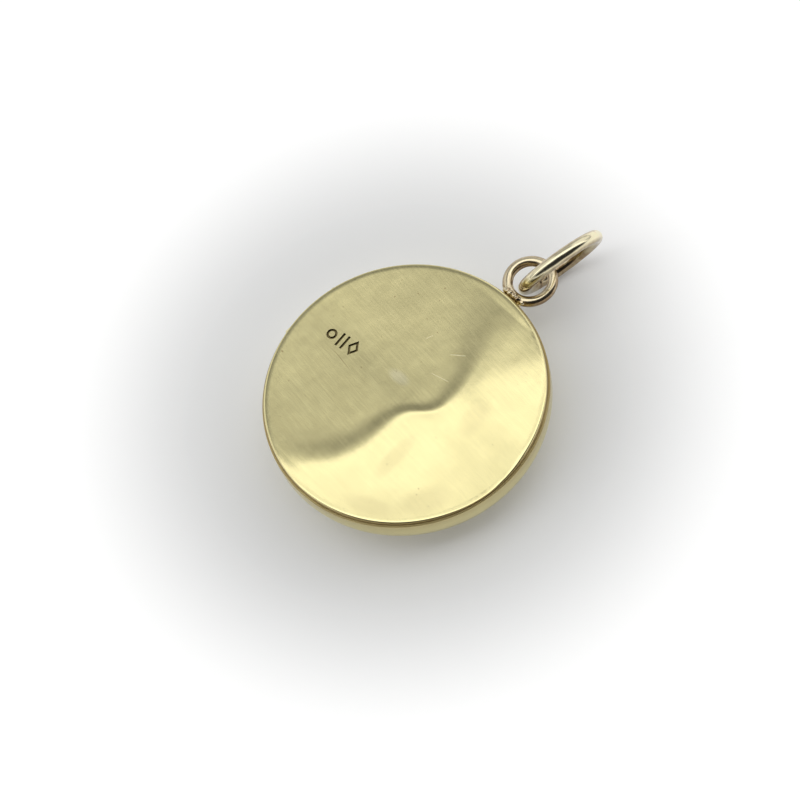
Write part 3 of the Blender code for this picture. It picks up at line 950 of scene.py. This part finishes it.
# Brightness of the studio's parts, and the elevations, in degrees, over which one gives way to another
WALL_GREY = (0.54, 0.545, 0.555)
WALL_DIM = (0.26, 0.265, 0.27)
WALL_PALE = (0.62, 0.625, 0.62)
DARK_SIDE = (0.028, 0.028, 0.030)
SOFTBOX_FAR = (1.58, 1.58, 1.56)
SOFTBOX_MIDDLE = (1.08, 1.08, 1.06)
SOFTBOX_NEAR = (1.65, 1.65, 1.63)
DIM_BAND = (40.0, 48.0)
PALE_BAND = (55.0, 60.5)
DARK_LOW_BAND = (3.0, 13.0)
DARK_TURN = 6.0                                 # of its middle from the viewer's azimuth
DARK_SPREAD = (0.12, 0.34)                      # cosines from its middle where it starts and is full
SIDE_PANELS = ((50.0, 0.85), (-50.0, 0.95))     # turn from the far side, and brightness
PANEL_ELEVATION = 29.0
PANEL_CORE = 20.0                               # full within this angle from the middle
PANEL_REACH = 30.0                              # gone beyond this one

# Planes that bound the softbox and its fading: elevation over the far side, and half their softness
SOFTBOX_EDGE = (62.9, 0.016)
SOFTBOX_FADING = (68.5, 0.055)
SOFTBOX_RETURNING = (78.0, 0.03)
SOFTBOX_END = (84.0, 0.05)          # this one over the near side


def make_world():
    """Studio surroundings: a broad soft source overhead, grey walls, two panels and a dark near side."""
    world = bpy.data.worlds.new("studio")
    bpy.context.scene.world = world
    world.use_nodes = True
    tree = world.node_tree
    background = tree.nodes["Background"]
    where = tree.nodes.new("ShaderNodeTexCoord").outputs["Generated"]
    azimuth = math.degrees(VIEW_AZIMUTH)

    def towards(direction, low, high):
        """Rises from nought to one as a ray turns towards a direction, between two cosines."""
        dot = tree.nodes.new("ShaderNodeVectorMath")
        dot.operation = "DOT_PRODUCT"
        dot.inputs[1].default_value = Vector(direction).normalized()
        tree.links.new(where, dot.inputs[0])
        ramp = tree.nodes.new("ShaderNodeMapRange")
        ramp.interpolation_type = "SMOOTHSTEP"
        ramp.inputs["From Min"].default_value = low
        ramp.inputs["From Max"].default_value = high
        tree.links.new(dot.outputs["Value"], ramp.inputs["Value"])
        return ramp.outputs["Result"]

    def above(band):
        """One above a band of elevations, nought below it."""
        return towards((0.0, 0.0, 1.0), *(math.sin(math.radians(elevation)) for elevation in band))

    def past_plane(side, elevation, softness):
        """One on this side of a slanting plane, which meets the opposite side at this elevation."""
        return towards(world_direction(side, 90.0 - elevation), -softness, softness)

    def blend(amount, first, second):
        mix = tree.nodes.new("ShaderNodeMix")
        mix.data_type = "RGBA"
        tree.links.new(amount, mix.inputs["Factor"])
        for socket, value in ((mix.inputs[6], first), (mix.inputs[7], second)):
            if isinstance(value, tuple):
                socket.default_value = (*value, 1.0)
            else:
                tree.links.new(value, socket)
        return mix.outputs[2]

    def both(first, second):
        node = tree.nodes.new("ShaderNodeMath")
        node.operation = "MULTIPLY"
        tree.links.new(first, node.inputs[0])
        tree.links.new(second, node.inputs[1])
        return node.outputs["Value"]

    colour = blend(above(DIM_BAND), WALL_GREY, WALL_DIM)
    colour = blend(above(PALE_BAND), colour, WALL_PALE)
    near_side = towards(world_direction(azimuth + DARK_TURN, 0.0), *DARK_SPREAD)
    dark = both(near_side, above(DARK_LOW_BAND))
    colour = blend(dark, colour, DARK_SIDE)
    for turn, brightness in SIDE_PANELS:
        panel = towards(world_direction(azimuth + 180.0 + turn, PANEL_ELEVATION),
                        math.cos(math.radians(PANEL_REACH)), math.cos(math.radians(PANEL_CORE)))
        colour = blend(panel, colour, (brightness, brightness, brightness))
    softbox = blend(past_plane(azimuth, *SOFTBOX_FADING), SOFTBOX_FAR, SOFTBOX_MIDDLE)
    softbox = blend(past_plane(azimuth, *SOFTBOX_RETURNING), softbox, SOFTBOX_NEAR)
    inside = both(past_plane(azimuth, *SOFTBOX_EDGE), past_plane(azimuth + 180.0, *SOFTBOX_END))
    colour = blend(inside, colour, softbox)
    tree.links.new(colour, background.inputs["Color"])
    background.inputs["Strength"].default_value = 1.0


def make_camera():
    data = bpy.data.cameras.new("view")
    data.sensor_width = SENSOR_WIDTH
    data.lens = SENSOR_WIDTH * VIEW_DISTANCE / FRAME_WIDTH
    data.clip_start = 0.005
    data.clip_end = 5.0
    camera = bpy.data.objects.new("view", data)
    look = (-TOWARDS_CAMERA).to_track_quat("-Z", "Y") @ Euler((0.0, 0.0, -VIEW_ROLL)).to_quaternion()
    right = look @ Vector((1.0, 0.0, 0.0))
    up = look @ Vector((0.0, 1.0, 0.0))
    aim = Vector((0.0, 0.0, LID_TOP)) - right * AIM_LEFT - up * AIM_DOWN
    camera.rotation_mode = "QUATERNION"
    camera.rotation_quaternion = look
    camera.location = aim + TOWARDS_CAMERA * VIEW_DISTANCE
    bpy.context.scene.collection.objects.link(camera)
    bpy.context.scene.camera = camera
    bpy.context.scene.view_settings.view_transform = "Standard"


make_camera()
make_back_plate()
make_snap_rim()
make_case_shell()
make_bail_loop()
make_solder()
make_jump_ring()
make_hinge()
make_picture_frame("front", "case")
make_picture_frame("back", "lid")
dress_cad_nodes()
make_floor()
make_world()
